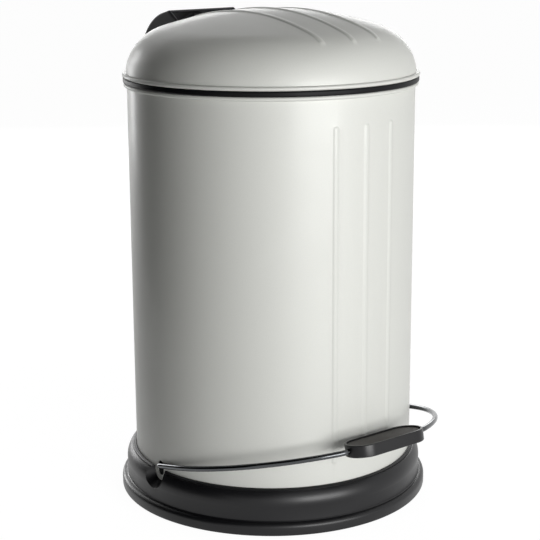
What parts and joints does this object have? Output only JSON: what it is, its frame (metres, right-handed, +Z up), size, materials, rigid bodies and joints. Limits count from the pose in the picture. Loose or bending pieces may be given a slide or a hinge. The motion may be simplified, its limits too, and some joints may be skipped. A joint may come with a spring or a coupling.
{
  "type": "pedal bin",
  "caption": "Round pedal bin with a painted steel body, a domed lid that a wire pedal lifts, a black foot ring and rim, and a removable inner bucket.",
  "frame": {"origin": "middle of the foot ring, on the floor", "axes": "+Z up, -Y to the front, where the pedal is, +X to the right of someone who looks at the front"},
  "size_m": [0.2996, 0.341, 0.4628],
  "materials": {
    "silver_paint": "satin metallic paint",
    "black_plastic": "satin moulded",
    "bright_wire": "dark bright plated wire",
    "zinc_steel": "plain zinc plated",
    "pedal_rubber": "matt, lightly textured",
    "bucket_plastic": "satin moulded"
  },
  "bodies": {
    "bin": {"body_shell": "silver_paint", "body_bottom": "zinc_steel", "rim_ring": "black_plastic", "base_ring": "black_plastic", "axle_bush_left": "black_plastic", "axle_bush_right": "black_plastic", "hinge_bracket": "zinc_steel", "hinge_pin": "zinc_steel", "bracket_rivets": "zinc_steel", "rod_guide": "black_plastic"},
    "lid": {"lid_shell": "silver_paint", "lid_handle": "black_plastic", "lid_hinge_arm": "zinc_steel", "handle_screws": "zinc_steel"},
    "lever": {"pedal_wire": "bright_wire", "axle_tube": "zinc_steel", "lever_arm": "zinc_steel", "pedal_body": "black_plastic", "pedal_pad": "pedal_rubber"},
    "rod": {"push_rod": "bright_wire", "rod_cap": "black_plastic", "rod_clip": "zinc_steel"},
    "bucket": {"inner_bucket": "bucket_plastic"},
    "bail": {"bucket_bail": "bright_wire"}
  },
  "joints": [
    {"name": "lid_hinge", "type": "hinge", "parent": "bin", "child": "lid", "pos_m": [0, 0.147, 0.404], "axis": [-1, 0, 0], "range_deg": [0, 75]},
    {"name": "pedal_lever", "type": "hinge", "parent": "bin", "child": "lever", "pos_m": [0, 0, 0.044], "axis": [1, 0, 0], "range_deg": [0, 13.2]},
    {"name": "rod_pivot", "type": "hinge", "parent": "lever", "child": "rod", "pos_m": [0, 0.1278, 0.02927], "axis": [1, 0, 0], "range_deg": [-13.2, 0]},
    {"name": "bucket_lift", "type": "slide", "parent": "bin", "child": "bucket", "axis": [0, 0, 1], "range_m": [0, 0.02]},
    {"name": "bail_swing", "type": "hinge", "parent": "bucket", "child": "bail", "pos_m": [0, 0, 0.3743], "axis": [-1, 0, 0], "range_deg": [0, 20]}
  ],
  "couplings": [
    {"joint": "pedal_lever", "follows": "lid_hinge", "ratio": 0.17536},
    {"joint": "rod_pivot", "follows": "lid_hinge", "ratio": -0.17536}
  ]
}
